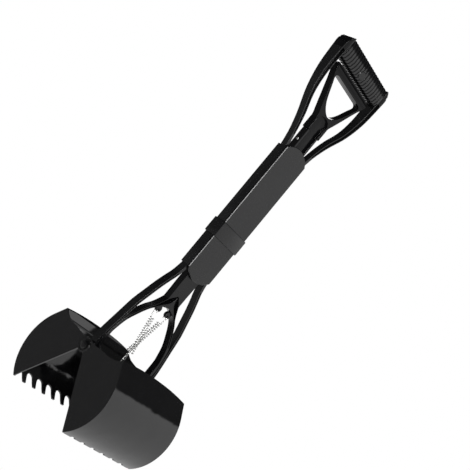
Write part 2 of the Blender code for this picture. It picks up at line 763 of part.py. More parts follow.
def make_collar(material):
    half = COLLAR_HEIGHT / 2
    body = box("collar", (-COLLAR_WIDTH / 2, -COLLAR_DEPTH / 2, shaft_joint - half),
               (COLLAR_WIDTH / 2, COLLAR_DEPTH / 2, shaft_joint + half), material)
    round_edges(body, COVER_ROUND * 1.6)
    x = half_width + RUN_GAP
    y = SHAFT_DEPTH / 2 + RUN_GAP
    cut(body, box("collar_hollow", (-x, -y, shaft_joint - half - OVERRUN),
                  (x, y, shaft_joint + half + OVERRUN)))
    return body


def make_guides(material):
    """Bushes that keep the pull rod in the middle of the shaft, seated on its walls."""
    outer = half_width - SHAFT_WALL - GAP
    window = STEM_WIDTH / 2 + RUN_GAP
    deep = STEM_DEPTH / 2 + RUN_GAP
    tall = STEM_DEPTH
    for name, z in (("lower_rod_guide", SHAFT_BOTTOM + tall * 1.3),
                    ("upper_rod_guide", shaft_top - tall * 4)):
        body = box(name, (-outer, cover_back + GAP, z), (outer, back_inner - GAP, z + tall), material)
        cut(body, box(name + "_window", (-window, -deep, z - OVERRUN), (window, deep, z + tall + OVERRUN)))


def make_joiners(material):
    """Blocks inside the shaft that the screw posts of both covers pass through."""
    below = low_posts[1]
    above = high_posts[0]
    edge = POST_RADIUS * 2.6
    for side, tag in ((-1, "left"), (1, "right")):
        near = side * (STEM_WIDTH / 2 + RUN_GAP * 4)
        far = side * (half_width - SHAFT_WALL - GAP)
        body = box("shaft_joiner_" + tag, (min(near, far), cover_back + GAP, below - edge),
                   (max(near, far), back_inner - GAP, above + edge), material)
        for z in (below, above):
            x = side * POST_OFFSET
            cut(body, cylinder(f"joiner_hole_{tag}_{z}", POST_RADIUS + GAP, (x, cover_back - OVERRUN, z),
                               (x, back_inner + OVERRUN, z), steps=16))


# Grip

def grip_ring(shape, x, growth):
    """One closed ring of the grip, a rounded oblong in the YZ plane."""
    ring = []
    for i in range(GRIP_SIDES):
        angle = 2 * math.pi * (i + 0.5) / GRIP_SIDES
        y = abs(math.cos(angle)) ** 0.7 * math.copysign(GRIP_DEEP / 2 + growth, math.cos(angle))
        z = abs(math.sin(angle)) ** 0.7 * math.copysign(GRIP_TALL / 2 + growth, math.sin(angle))
        ring.append(shape.verts.new((x, y, grip_centre + z)))
    return ring


def tilt(thing, pivot):
    """Leans a plate's mesh to follow the grip's rounded face."""
    turn = Matrix.Rotation(MEDAL_TILT, 4, "X")
    thing.data.transform(Matrix.Translation(pivot) @ turn @ Matrix.Translation(-pivot))


def make_grip(material, badge):
    """The ribbed sleeve on the bar of the D: a loft of rings, ribs and valleys in turn."""
    count = round(GRIP_LENGTH / RIB_PITCH)
    half = GRIP_LENGTH / 2
    rise = RIB_WIDTH * 0.35
    shape = bmesh.new()
    rings = [grip_ring(shape, -half, -RIB_HEIGHT)]
    for i in range(count):
        x = -half + GRIP_LENGTH * (i + 0.5) / count
        low = -RIB_HEIGHT
        rings += [grip_ring(shape, x - RIB_WIDTH / 2 - rise, low), grip_ring(shape, x - RIB_WIDTH / 2, 0),
                  grip_ring(shape, x + RIB_WIDTH / 2, 0), grip_ring(shape, x + RIB_WIDTH / 2 + rise, low)]
    rings.append(grip_ring(shape, half, -RIB_HEIGHT))
    for a, b in zip(rings, rings[1:]):
        for i in range(len(a)):
            j = (i + 1) % len(a)
            shape.faces.new((a[i], a[j], b[j], b[i]))
    shape.faces.new(list(reversed(rings[0])))
    shape.faces.new(rings[-1])
    mesh = mesh_from_bmesh("grip", shape)
    smooth_edges(mesh, math.radians(40))
    grip = add_object("grip", mesh, material)
    y = BAR_DEEP / 2 + GAP
    z = BAR_TALL / 2 + GAP
    cut(grip, box("grip_bore", (-GRIP_LENGTH, -y, grip_centre - z), (GRIP_LENGTH, y, grip_centre + z)))
    face = -GRIP_DEEP / 2
    seat = face + MEDAL_THICK * 1.4
    height = grip_centre - MEDAL_DROP
    pivot = Vector((MEDAL_SIDE, face, height))

    def oval(name, grow, front, back):
        loop = [(u * (MEDAL_LONG / 2 + grow) + MEDAL_SIDE, v * (MEDAL_TALL / 2 + grow) + height)
                for u, v in arc((0, 0), 1, 0, 345, 23)]
        thing = plate(name, [loop], back - front, FRONT, (front + back) / 2)
        tilt(thing, pivot)
        return thing
    cut(grip, oval("medal_seat", GAP, face - OVERRUN, seat))
    medal = oval("grip_medallion", 0, seat - GAP - MEDAL_THICK, seat - GAP)
    medal.data.materials.append(badge)
    round_edges(medal, MEDAL_THICK * 0.3, 1)


# Pull rod

def fork_inner():
    """Inner edge of the right prong, from its foot up to the crotch."""
    out = CROSSHEAD_FACE
    shares = ((0.922, 0.2535), (0.890, 0.3096), (0.845, 0.3786), (0.785, 0.4380), (0.692, 0.5022),
              (0.586, 0.5713), (0.454, 0.6403), (0.310, 0.6902), (0.185, 0.7216), (0, 0.7414))
    points = [(out - CROSSHEAD_THICK, CROSSHEAD_TOP - GAP)]
    return smooth_line(points + [(out * u, fork_top * v) for u, v in shares], 2)


def fork_outline():
    """The fork from the stem down to both crossheads, in the XZ plane."""
    half = STEM_WIDTH / 2
    out = CROSSHEAD_FACE
    shares = ((0.265, 0.783), (0.340, 0.733), (0.424, 0.687), (0.534, 0.640), (0.671, 0.564),
              (0.790, 0.4893), (0.868, 0.4380), (0.915, 0.3799), (0.946, 0.3198), (0.976, 0.2535))
    outer = [(half * 0.955, fork_top * 0.815)] + [(out * u, fork_top * v) for u, v in shares]
    outer.append((out, CROSSHEAD_TOP - GAP))
    right = [(half, fork_top), (half * 0.97, fork_top * 0.9293)] + smooth_line(outer, 2)
    inner = fork_inner()
    whole = right + inner[:-1]
    return whole + [inner[-1]] + flip(whole)


def crotch_height(side):
    """Height of the prongs' inner edge at a distance from the middle."""
    line = fork_inner()
    for (far, low), (near, high) in zip(line, line[1:]):
        if near <= side <= far:
            return low + (high - low) * (far - side) / (far - near)
    return line[-1][1]


def prong_groove(side):
    """Middle and width of the channel in the front of one prong, from its pointed tip down."""
    out = CROSSHEAD_FACE
    shares = ((0.008, 0.887, 0.023), (0.062, 0.847, 0.093), (0.132, 0.807, 0.132), (0.210, 0.770, 0.101),
              (0.296, 0.729, 0.062), (0.389, 0.684, 0.034), (0.498, 0.634, 0.031), (0.623, 0.569, 0.031),
              (0.740, 0.496, 0.028), (0.826, 0.436, 0.025))
    return [(side * out * u, fork_top * v, out * w) for u, v, w in shares]


def crosshead_outline():
    """Crosshead seen along the hinge: two legs that straddle the hinge rod, each with a pin hole."""
    boss = PIN_RADIUS * 1.9
    deep = STEM_DEPTH / 2
    gap = ROD_RADIUS + RUN_GAP * 2
    roof = TRAVEL + ROD_RADIUS + RUN_GAP * 4
    right = arc((PIN_OFFSET, PIN_OPEN_RISE), boss, -150, 55, 12)
    right += [(deep, PIN_OPEN_RISE + boss * 1.8), (deep, CROSSHEAD_TOP + PIN_RADIUS)]
    notch = arc((0, roof - gap), gap, 180, 0, 8)
    low = right[0][1]
    return [(gap, low)] + right + flip(right) + [(-gap, low)] + notch


ear_height = crotch_height(EAR_OFFSET) - EAR_RADIUS * 0.96


def make_pull_rod(material):
    rod = plate("pull_rod", [fork_outline()], STEM_DEPTH, FRONT, 0, material)
    half = STEM_WIDTH / 2
    deep = STEM_DEPTH / 2
    join(rod, box("stem", (-half, -deep, fork_top - GAP), (half, deep, stem_top)))
    channel = STEM_CHANNEL / 2
    cut(rod, box("stem_channel", (-channel, -deep - OVERRUN, stem_top - CHANNEL_LENGTH),
                 (channel, channel_floor, stem_top + OVERRUN)))
    for side, tag in ((-1, "left"), (1, "right")):
        middle = side * (CROSSHEAD_FACE - CROSSHEAD_THICK / 2)
        join(rod, plate("crosshead_" + tag, [crosshead_outline()], CROSSHEAD_THICK, SIDE, middle))
        ear = side * EAR_OFFSET
        join(rod, cylinder("ear_" + tag, EAR_RADIUS, (ear, -EAR_THICK / 2, ear_height),
                           (ear, EAR_THICK / 2, ear_height)))
        hole = ear_height - EAR_RADIUS + ear_loop - WIRE / 3
        cut(rod, cylinder("ear_hole_" + tag, WIRE / 2 + RUN_GAP * 3, (ear, -STEM_DEPTH, hole),
                          (ear, STEM_DEPTH, hole), steps=14))
        for face, where in ((-1, "front"), (1, "back")):
            y = face * PIN_OFFSET
            cut(rod, cylinder(f"pin_hole_{tag}_{where}", PIN_RADIUS + GAP,
                              (middle - CROSSHEAD_THICK, y, PIN_OPEN_RISE),
                              (middle + CROSSHEAD_THICK, y, PIN_OPEN_RISE)))
        thick = STEM_DEPTH - STEM_WEB + OVERRUN
        cut(rod, plate("prong_groove_" + tag, [ribbon(prong_groove(side), 2)], thick, FRONT,
                       channel_floor - thick / 2))
    height = stem_top - TANG_LENGTH / 2
    cut(rod, cylinder("stem_pin_hole", TANG_PIN + GAP, (-STEM_WIDTH, tang_middle, height),
                      (STEM_WIDTH, tang_middle, height), steps=16))
    return rod


def cam_pin_mesh(material):
    """A headed pin along Z, the inner side of its head at the origin."""
    length = lug_outer - GAP - (CROSSHEAD_FACE - CROSSHEAD_THICK) + GAP
    nose = PIN_RADIUS * 0.25
    profile = [(0, length), (PIN_RADIUS - nose, length), (PIN_RADIUS, length - nose), (PIN_RADIUS, 0),
               (PIN_HEAD_RADIUS, 0), (PIN_HEAD_RADIUS, -PIN_HEAD_THICK), (0, -PIN_HEAD_THICK)]
    mesh = turned("cam_pin", profile)
    mesh.materials.append(material)
    return mesh


def make_cam_pins(material):
    mesh = cam_pin_mesh(material)
    for side, tag in ((-1, "left"), (1, "right")):
        for face, where in ((-1, "front"), (1, "back")):
            pin = add_object(f"cam_pin_{tag}_{where}", mesh)
            seat = CROSSHEAD_FACE - CROSSHEAD_THICK - GAP
            pin.location = (side * seat, face * PIN_OFFSET, PIN_OPEN_RISE)
            pin.rotation_euler = (0, side * math.pi / 2, 0)


def make_handle_pin(material):
    """The pin across the stem that holds the squeeze handle in the pull rod."""
    length = STEM_WIDTH + GAP * 2
    head = TANG_PIN * 1.6
    thick = TANG_PIN * 0.7
    profile = [(0, thick), (head * 0.8, thick), (head, 0), (TANG_PIN, 0), (TANG_PIN, -length),
               (head, -length), (head * 0.8, -length - thick), (0, -length - thick)]
    mesh = turned("handle_pin", profile, 16)
    mesh.materials.append(material)
    pin = add_object("handle_pin", mesh)
    pin.location = (-length / 2, tang_middle, stem_top - TANG_LENGTH / 2)
    pin.rotation_euler = (0, -math.pi / 2, 0)


# Squeeze handle

def handle_outlines():
    """Outer outline and finger opening of the squeeze handle, in the XZ plane."""
    base = stem_top + GAP * 2
    rise = bar_height - base
    half = HANDLE_STEM / 2
    outer_shares = ((1.0, 0.0), (1.01, 0.157), (1.12, 0.264), (1.355, 0.349), (1.71, 0.482), (2.02, 0.60),
                    (2.31, 0.712), (2.60, 0.819), (2.90, 0.915), (3.08, 0.99), (3.02, 1.053))
    outer = smooth_line([(half * u, base + rise * v) for u, v in outer_shares], 2)
    outer += [(half * 2.6, bar_height + BAR_RADIUS * 0.85)]
    inner_shares = ((0.0, 0.360), (0.33, 0.374), (0.63, 0.400), (0.93, 0.436), (1.31, 0.500), (1.66, 0.589),
                    (1.98, 0.690), (2.27, 0.781), (2.53, 0.861), (2.40, 0.904), (2.15, 0.917))
    inner = smooth_line([(half * u, base + rise * v) for u, v in inner_shares], 2)
    opening = inner + flip(inner)[:-1]
    return outer + flip(outer), opening


def make_squeeze_handle(material):
    outline, opening = handle_outlines()
    handle = plate("squeeze_handle", [outline, opening], HANDLE_DEPTH, FRONT, 0, material)
    base = stem_top + GAP
    reach = HANDLE_STEM * 1.5
    join(handle, cylinder("squeeze_bar", BAR_RADIUS, (-reach, 0, bar_height), (reach, 0, bar_height),
                          steps=20))
    neck = HANDLE_NECK_DEPTH / 2
    half = HANDLE_STEM / 2 + GAP
    block = box("handle_neck", (-half, -neck, base), (half, neck, base + HANDLE_STEM * 0.62))
    join(handle, block)
    half = STEM_CHANNEL / 2 - GAP
    front = tang_middle - TANG_DEPTH / 2
    join(handle, box("tang", (-half, front, base - TANG_LENGTH), (half, front + TANG_DEPTH, base + GAP)))
    pocket_shares = ((-0.36, -0.10), (0.36, -0.10), (0.37, 0.45), (0.43, 0.72), (0.30, 0.86),
                     (0.12, 0.92), (-0.12, 0.92), (-0.30, 0.86), (-0.43, 0.72), (-0.37, 0.45))
    loop = [(u * HANDLE_STEM, base + v * HANDLE_STEM) for u, v in pocket_shares]
    depth = neck + front
    cut(handle, plate("handle_pocket", [loop], depth + OVERRUN, FRONT, -neck + (depth - OVERRUN) / 2))
    height = stem_top - TANG_LENGTH / 2
    cut(handle, cylinder("tang_hole", TANG_PIN + GAP, (-HANDLE_STEM, tang_middle, height),
                         (HANDLE_STEM, tang_middle, height), steps=16))
    return handle


# Springs

def spring_points(side):
    """One unbroken wire: a hook under the hinge rod, the coil beside the rod, and a loop through an ear.

    The left coil hangs in front of the rod and the right one behind it.
    """
    hook = ROD_RADIUS + RUN_GAP + WIRE / 2
    head = Vector((side * EAR_OFFSET, 0, ear_height - EAR_RADIUS))
    lean = HOOK_SPREAD + (EAR_OFFSET - HOOK_SPREAD) * COIL_BOTTOM / head.z
    foot = Vector((side * lean, side * (hook + COIL_RADIUS), COIL_BOTTOM))
    length = (head - foot).length
    along = (head - foot).normalized()
    third = Vector((0, -side, 0)).cross(along).normalized()
    across = along.cross(third)

    def place(s, u, v):
        return foot + along * s + across * u + third * v
    points = []
    for i in range(15):
        angle = math.radians(230 - 230 * i / 14)
        points.append(Vector((side * HOOK_SPREAD, side * hook * math.cos(angle), -hook * math.sin(angle))))
    points.append(place(-WIRE * 1.5, COIL_RADIUS, 0))
    steps = COIL_TURNS * COIL_STEPS
    coil_length = length - COIL_TAIL
    for i in range(steps + 1):
        angle = 2 * math.pi * i / COIL_STEPS
        points.append(place(coil_length * i / steps, COIL_RADIUS * math.cos(angle),
                            COIL_RADIUS * math.sin(angle)))
    points.append(place(coil_length + WIRE * 1.5, COIL_RADIUS, 0))
    for i in range(12):
        angle = math.radians(215 * i / 11)
        points.append(place(length + ear_loop * math.sin(angle), ear_loop * math.cos(angle), 0))
    return points


def least_gap(points):
    """The smallest clear distance between parts of the wire that aren't neighbours along it."""
    reach = WIRE * 3
    lengths = [0.0]
    for a, b in zip(points, points[1:]):
        lengths.append(lengths[-1] + (b - a).length)
    best = reach * 10
    for i, a in enumerate(points):
        for j in range(i + 1, len(points)):
            if lengths[j] - lengths[i] > reach:
                best = min(best, (points[j] - a).length)
    return best - WIRE


def make_spring(name, side, material):
    points = spring_points(side)
    curve = bpy.data.curves.new(name, "CURVE")
    curve.dimensions = "3D"
    curve.bevel_depth = WIRE / 2
    curve.bevel_resolution = 1
    curve.use_fill_caps = True
    spline = curve.splines.new("POLY")
    spline.points.add(len(points) - 1)
    for point, place in zip(spline.points, points):
        point.co = (*place, 1)
    mesh = mesh_from_curve(add_object(name, curve), name)
    smooth_edges(mesh, math.radians(60))
    add_object(name, mesh, material)
    print(f"{name}: least gap to itself {least_gap(points) * 1000:.2f} mm")


# Assembly

def build():
    plastic = make_material("black_plastic", BLACK, 0.32)
    jaw_plastic = make_material("jaw_plastic", BLACK, 0.28)
    nylon = make_material("black_nylon", SOFT_BLACK, 0.5)
    rubber = make_material("grip_rubber", SOFT_BLACK, 0.6)
    steel = make_material("spring_steel", STEEL, 0.3, 1.0)
    dark = make_material("blackened_steel", DARK_STEEL, 0.4, 1.0)

    make_jaw("front_jaw", -1, jaw_plastic)
    make_jaw("rear_jaw", 1, jaw_plastic)
    make_hinge(dark, nylon)

    lower = make_lower_housing(plastic)
    upper = make_upper_housing(plastic)
    lower_cover = cover("lower_cover", shaft_joint - GAP / 2, SHAFT_BOTTOM, plastic)
    upper_cover = cover("upper_cover", shaft_joint + GAP / 2, shaft_top, plastic)
    screw = screw_mesh(dark)
    numbers = iter(range(1, 100))
    fasten(lower, lower_cover, low_posts, screw, numbers)
    fasten(upper, upper_cover, high_posts, screw, numbers)
    make_collar(plastic)
    make_guides(nylon)
    make_joiners(nylon)
    make_grip(rubber, plastic)

    make_pull_rod(plastic)
    make_cam_pins(dark)
    make_squeeze_handle(plastic)
    make_handle_pin(steel)
    make_spring("spring_left", -1, steel)
    make_spring("spring_right", 1, steel)


build()
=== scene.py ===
import json
import math

import bmesh
import bpy
from mathutils import Matrix, Vector


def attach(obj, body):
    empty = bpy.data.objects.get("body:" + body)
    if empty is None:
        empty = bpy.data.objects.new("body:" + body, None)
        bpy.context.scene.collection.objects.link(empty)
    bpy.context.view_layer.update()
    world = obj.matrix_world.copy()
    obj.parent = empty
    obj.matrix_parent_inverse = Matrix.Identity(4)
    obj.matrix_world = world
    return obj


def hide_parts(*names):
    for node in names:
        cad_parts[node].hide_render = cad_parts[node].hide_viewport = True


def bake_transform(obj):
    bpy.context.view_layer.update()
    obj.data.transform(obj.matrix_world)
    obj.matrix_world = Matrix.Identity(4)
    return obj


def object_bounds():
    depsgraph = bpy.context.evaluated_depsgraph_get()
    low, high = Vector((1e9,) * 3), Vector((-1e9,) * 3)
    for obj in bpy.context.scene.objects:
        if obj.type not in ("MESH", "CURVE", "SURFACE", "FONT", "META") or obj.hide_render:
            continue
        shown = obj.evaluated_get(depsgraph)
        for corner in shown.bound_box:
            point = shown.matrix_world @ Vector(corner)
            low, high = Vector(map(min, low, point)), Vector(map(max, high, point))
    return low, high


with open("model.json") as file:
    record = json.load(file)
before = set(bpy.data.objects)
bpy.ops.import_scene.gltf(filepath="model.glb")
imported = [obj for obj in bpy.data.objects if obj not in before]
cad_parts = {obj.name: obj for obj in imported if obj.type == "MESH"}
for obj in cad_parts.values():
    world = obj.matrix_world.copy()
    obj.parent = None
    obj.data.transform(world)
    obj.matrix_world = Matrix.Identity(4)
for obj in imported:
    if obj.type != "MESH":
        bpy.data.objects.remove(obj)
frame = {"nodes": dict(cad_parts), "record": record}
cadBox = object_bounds()
nodes = frame["nodes"]
print("frame loaded,", len(nodes), "nodes")

scene = bpy.context.scene
scene.view_settings.view_transform = "Standard"


# camera, fitted to the photograph: right, down and forward are its own directions
viewFit = {
    "place": (-0.9648, -0.9258, -0.4531),
    "right": (0.48602, -0.60131, 0.63421),
    "down": (0.50136, -0.40256, -0.76589),
    "forward": (0.71584, 0.6902, 0.10582),
    "lens": 69.78,
    "shiftX": 0.0129,
    "shiftY": -0.0143,
    "sensor": 36,
    "near": 0.01,
}


def addCamera(fit):
    lensData = bpy.data.cameras.new("photoCamera")
    lensData.sensor_width = fit["sensor"]
    lensData.lens = fit["lens"]
    lensData.shift_x = fit["shiftX"]
    lensData.shift_y = fit["shiftY"]
    lensData.clip_start = fit["near"]
    camera = bpy.data.objects.new("photoCamera", lensData)
    scene.collection.objects.link(camera)
    columns = [Vector(fit["right"]), -Vector(fit["down"]),
               -Vector(fit["forward"]), Vector(fit["place"])]
    camera.matrix_world = Matrix([[c[row] for c in columns] for row in range(3)] + [[0, 0, 0, 1]])
    scene.camera = camera


addCamera(viewFit)
print("camera placed")


# shader helpers
def groupTree(name, inputs, outputs):
    tree = bpy.data.node_groups.new(name, "ShaderNodeTree")
    for label, kind, value in inputs:
        socket = tree.interface.new_socket(name=label, in_out="INPUT", socket_type=kind)
        socket.default_value = value
    for label, kind in outputs:
        tree.interface.new_socket(name=label, in_out="OUTPUT", socket_type=kind)
    return tree, tree.nodes.new("NodeGroupInput"), tree.nodes.new("NodeGroupOutput")


def addNode(tree, kind, values=None, **settings):
    node = tree.nodes.new(kind)
    for key, value in settings.items():
        setattr(node, key, value)
    for key, value in (values or {}).items():
        node.inputs[key].default_value = value
    return node


# fine texture of moulded plastic: tiny pebbles and slow waves, and a mask of faint rub marks
def buildMouldGrain():
    tree, inside, out = groupTree(
        "mouldGrain",
        [("Grain Scale", "NodeSocketFloat", 2500.0), ("Grain", "NodeSocketFloat", 0.5),
         ("Waves", "NodeSocketFloat", 0.5), ("Wave Scale", "NodeSocketFloat", 16.0),
         ("Rub Scale", "NodeSocketFloat", 90.0)],
        [("Height", "NodeSocketFloat"), ("Rub", "NodeSocketFloat"),
         ("Tone", "NodeSocketFloat")])
    link = tree.links.new
    place = addNode(tree, "ShaderNodeTexCoord")
    pebbles = addNode(tree, "ShaderNodeTexNoise", {"Detail": 2.0, "Roughness": 0.55})
    link(place.outputs["Object"], pebbles.inputs["Vector"])
    link(inside.outputs["Grain Scale"], pebbles.inputs["Scale"])
    waves = addNode(tree, "ShaderNodeTexNoise", {"Detail": 1.0})
    link(place.outputs["Object"], waves.inputs["Vector"])
    link(inside.outputs["Wave Scale"], waves.inputs["Scale"])
    pebbleShare = addNode(tree, "ShaderNodeMath", operation="MULTIPLY")
    link(pebbles.outputs["Fac"], pebbleShare.inputs[0])
    link(inside.outputs["Grain"], pebbleShare.inputs[1])
    waveShare = addNode(tree, "ShaderNodeMath", operation="MULTIPLY")
    link(waves.outputs["Fac"], waveShare.inputs[0])
    link(inside.outputs["Waves"], waveShare.inputs[1])
    height = addNode(tree, "ShaderNodeMath", operation="ADD")
    link(pebbleShare.outputs[0], height.inputs[0])
    link(waveShare.outputs[0], height.inputs[1])
    rubPlace = addNode(tree, "ShaderNodeMapping", {"Scale": (1.0, 1.0, 0.12)})
    link(place.outputs["Object"], rubPlace.inputs["Vector"])
    rub = addNode(tree, "ShaderNodeTexNoise", {"Detail": 6.0, "Roughness": 0.7})
    link(rubPlace.outputs["Vector"], rub.inputs["Vector"])
    link(inside.outputs["Rub Scale"], rub.inputs["Scale"])
    rubMask = addNode(tree, "ShaderNodeMapRange", {"From Min": 0.45, "From Max": 0.8})
    link(rub.outputs["Fac"], rubMask.inputs["Value"])
    tone = addNode(tree, "ShaderNodeTexNoise", {"Scale": 34.0, "Detail": 3.0})
    link(place.outputs["Object"], tone.inputs["Vector"])
    link(height.outputs[0], out.inputs["Height"])
    link(rubMask.outputs["Result"], out.inputs["Rub"])
    link(tone.outputs["Fac"], out.inputs["Tone"])
    return tree


mouldGrain = buildMouldGrain()


def newMaterial(name, look):
    material = bpy.data.materials.new(name)
    material.use_nodes = True
    tree = material.node_tree
    shader = tree.nodes["Principled BSDF"]
    shader.inputs["Metallic"].default_value = look.get("metal", 0.0)
    shader.inputs["IOR"].default_value = look.get("ior", 1.47)
    grain = addNode(tree, "ShaderNodeGroup", {}, node_tree=mouldGrain)
    for key in ("Grain Scale", "Grain", "Waves", "Wave Scale", "Rub Scale"):
        if key in look:
            grain.inputs[key].default_value = look[key]
    colour = addNode(tree, "ShaderNodeMix", {}, data_type="RGBA")
    colour.inputs["A"].default_value = (*look["dark"], 1)
    colour.inputs["B"].default_value = (*look["light"], 1)
    tree.links.new(grain.outputs["Tone"], colour.inputs["Factor"])
    tree.links.new(colour.outputs["Result"], shader.inputs["Base Color"])
    gloss = {"To Min": look["smooth"], "To Max": look["rough"]}
    rough = addNode(tree, "ShaderNodeMapRange", gloss)
    tree.links.new(grain.outputs["Rub"], rough.inputs["Value"])
    tree.links.new(rough.outputs["Result"], shader.inputs["Roughness"])
    bump = addNode(tree, "ShaderNodeBump", {"Strength": 1.0, "Distance": look["relief"]})
    tree.links.new(grain.outputs["Height"], bump.inputs["Height"])
    tree.links.new(bump.outputs["Normal"], shader.inputs["Normal"])
    return material


# dark and light are the ends of the plastic's tone; smooth and rough the ends of its gloss
looks = {
    "jaw": {"dark": (0.003, 0.003, 0.0035), "light": (0.006, 0.006, 0.0065),
            "smooth": 0.07, "rough": 0.13, "relief": 0.00003,
            "Grain": 0.04, "Waves": 13.0, "Wave Scale": 42.0, "ior": 1.56},
    "shaft": {"dark": (0.005, 0.005, 0.0055), "light": (0.009, 0.009, 0.0095),
              "smooth": 0.20, "rough": 0.29, "relief": 0.00003,
              "Grain": 0.12, "Waves": 4.0},
    "fork": {"dark": (0.003, 0.003, 0.0035), "light": (0.006, 0.006, 0.0065),
             "smooth": 0.18, "rough": 0.27, "relief": 0.00003,
             "Grain": 0.12, "Waves": 3.0, "ior": 1.36},
    "lever": {"dark": (0.003, 0.003, 0.0035), "light": (0.005, 0.005, 0.0055),
              "smooth": 0.15, "rough": 0.24, "relief": 0.00003,
              "Grain": 0.10, "Waves": 2.0, "ior": 1.24},
    "grip": {"dark": (0.003, 0.003, 0.0035), "light": (0.006, 0.006, 0.0065),
             "smooth": 0.13, "rough": 0.22, "relief": 0.00003,
             "Grain": 0.10, "Waves": 1.0, "ior": 1.50},
    "nylon": {"dark": (0.008, 0.008, 0.009), "light": (0.014, 0.014, 0.015),
              "smooth": 0.34, "rough": 0.46, "relief": 0.00003,
              "Grain": 0.4, "Waves": 1.0},
    "spring": {"dark": (0.66, 0.66, 0.65), "light": (0.88, 0.88, 0.87),
               "smooth": 0.14, "rough": 0.28, "relief": 0.00001,
               "Grain": 0.4, "Waves": 0.0, "metal": 1.0},
    "darkSteel": {"dark": (0.05, 0.05, 0.05), "light": (0.10, 0.10, 0.10),
                  "smooth": 0.20, "rough": 0.34, "relief": 0.00001,
                  "Grain": 0.4, "Waves": 0.0, "metal": 1.0},
}
materials = {name: newMaterial(name + "Finish", look) for name, look in looks.items()}
slotLooks = {
    "jaw_plastic": "jaw", "black_plastic": "shaft", "black_nylon": "nylon",
    "grip_rubber": "grip", "spring_steel": "spring", "blackened_steel": "darkSteel",
}
slotOf = {entry["node"]: entry["material_slot"] for entry in frame["record"]["subparts"]}
bodyOf = {node: body for body, group in frame["record"]["behaviour"]["bodies"].items()
          for node in group}
print("materials made")


def dress(thing, look):
    thing.data.materials.clear()
    thing.data.materials.append(materials[look])


# the mesh of an object with its modifiers, or of a curve with its thickness
def evaluatedMesh(thing):
    bpy.context.view_layer.update()
    graph = bpy.context.evaluated_depsgraph_get()
    return bpy.data.meshes.new_from_object(thing.evaluated_get(graph))


# a new object from a finished bmesh, shaded smooth below the given angle
def meshPiece(name, shape, look, smoothAngle):
    bmesh.ops.recalc_face_normals(shape, faces=shape.faces)
    mesh = bpy.data.meshes.new(name)
    shape.to_mesh(mesh)
    shape.free()
    mesh.shade_smooth()
    mesh.set_sharp_from_angle(angle=math.radians(smoothAngle))
    piece = bpy.data.objects.new(name, mesh)
    scene.collection.objects.link(piece)
    dress(piece, look)
    return piece


# weld and join: how close points become one, and how flat faces become one, in degrees;
# bevelled edges are those that turn by more than the bevel angle
fineMesh = {"weld": 0.00002, "join": 0.6, "bevelAngle": 50}


# a finer copy of a solid: flat faces joined, edges bevelled, curved walls shaded smooth
def fineCopy(name, node, edge=0.0, steps=1, smoothAngle=32, look=None):
    mesh = nodes[node].data.copy()
    mesh.name = name
    for layer in ("custom_normal", "sharp_face"):
        if layer in mesh.attributes:
            mesh.attributes.remove(mesh.attributes[layer])
    shape = bmesh.new()
    shape.from_mesh(mesh)
    bmesh.ops.remove_doubles(shape, verts=shape.verts, dist=fineMesh["weld"])
    bmesh.ops.dissolve_limit(shape, angle_limit=math.radians(fineMesh["join"]),
                             verts=shape.verts, edges=shape.edges,
                             use_dissolve_boundaries=False)
    bmesh.ops.recalc_face_normals(shape, faces=shape.faces)
    shape.to_mesh(mesh)
    shape.free()
    piece = bpy.data.objects.new(name, mesh)
    scene.collection.objects.link(piece)
    if edge:
        rounding = piece.modifiers.new("rounding", "BEVEL")
        rounding.width = edge
        rounding.segments = steps
        rounding.limit_method = "ANGLE"
        rounding.angle_limit = math.radians(fineMesh["bevelAngle"])
        rounding.use_clamp_overlap = True
        mesh = evaluatedMesh(piece)
        piece.modifiers.clear()
        piece.data = mesh
    mesh.shade_smooth()
    mesh.set_sharp_from_angle(angle=math.radians(smoothAngle))
    dress(piece, look or slotLooks[slotOf[node]])
    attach(piece, bodyOf[node])
    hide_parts(node)


for node, thing in nodes.items():
    dress(thing, slotLooks[slotOf[node]])

finePieces = {
    "frontJawShell": "front_jaw", "rearJawShell": "rear_jaw",
    "lowerShaft": "lower_housing", "upperShaft": "upper_housing",
    "lowerShaftCover": "lower_cover", "upperShaftCover": "upper_cover",
    "forkAndStem": "pull_rod", "squeezeLever": "squeeze_handle",
    "lockCollar": "collar", "gripSleeve": "grip", "gripOval": "grip_medallion",
    "capLeft": "rod_cap_left", "capRight": "rod_cap_right",
}
# width of the bevel, its segments, and the angle below which faces are shaded as one
realEdges = {
    "squeezeLever": (0.0006, 1, 24), "forkAndStem": (0.0005, 1, 24),
    "lockCollar": (0.0006, 1, 24), "gripSleeve": (0.0006, 2, 40),
    "lowerShaft": (0.0005, 1, 24), "upperShaft": (0.0006, 1, 24),
    "frontJawShell": (0.0006, 1, 24),
}
ownLooks = {"squeezeLever": "lever", "forkAndStem": "fork"}
for name, node in finePieces.items():
    fineCopy(name, node, *realEdges.get(name, ()), look=ownLooks.get(name))
print("fine pieces made")


# raised rings moulded on the front jaw's hubs, round the caps of the hinge rod
# each ring has the radius of its middle and half its width; its shoulder is a share of its rise
hubRings = {"face": 0.078, "hinge": -0.5695, "rise": 0.0007, "sink": 0.0002, "steps": 96,
            "shoulder": 0.55, "crest": 0.5, "smoothAngle": 70,
            "rings": ((0.0078, 0.0006), (0.0094, 0.0009))}


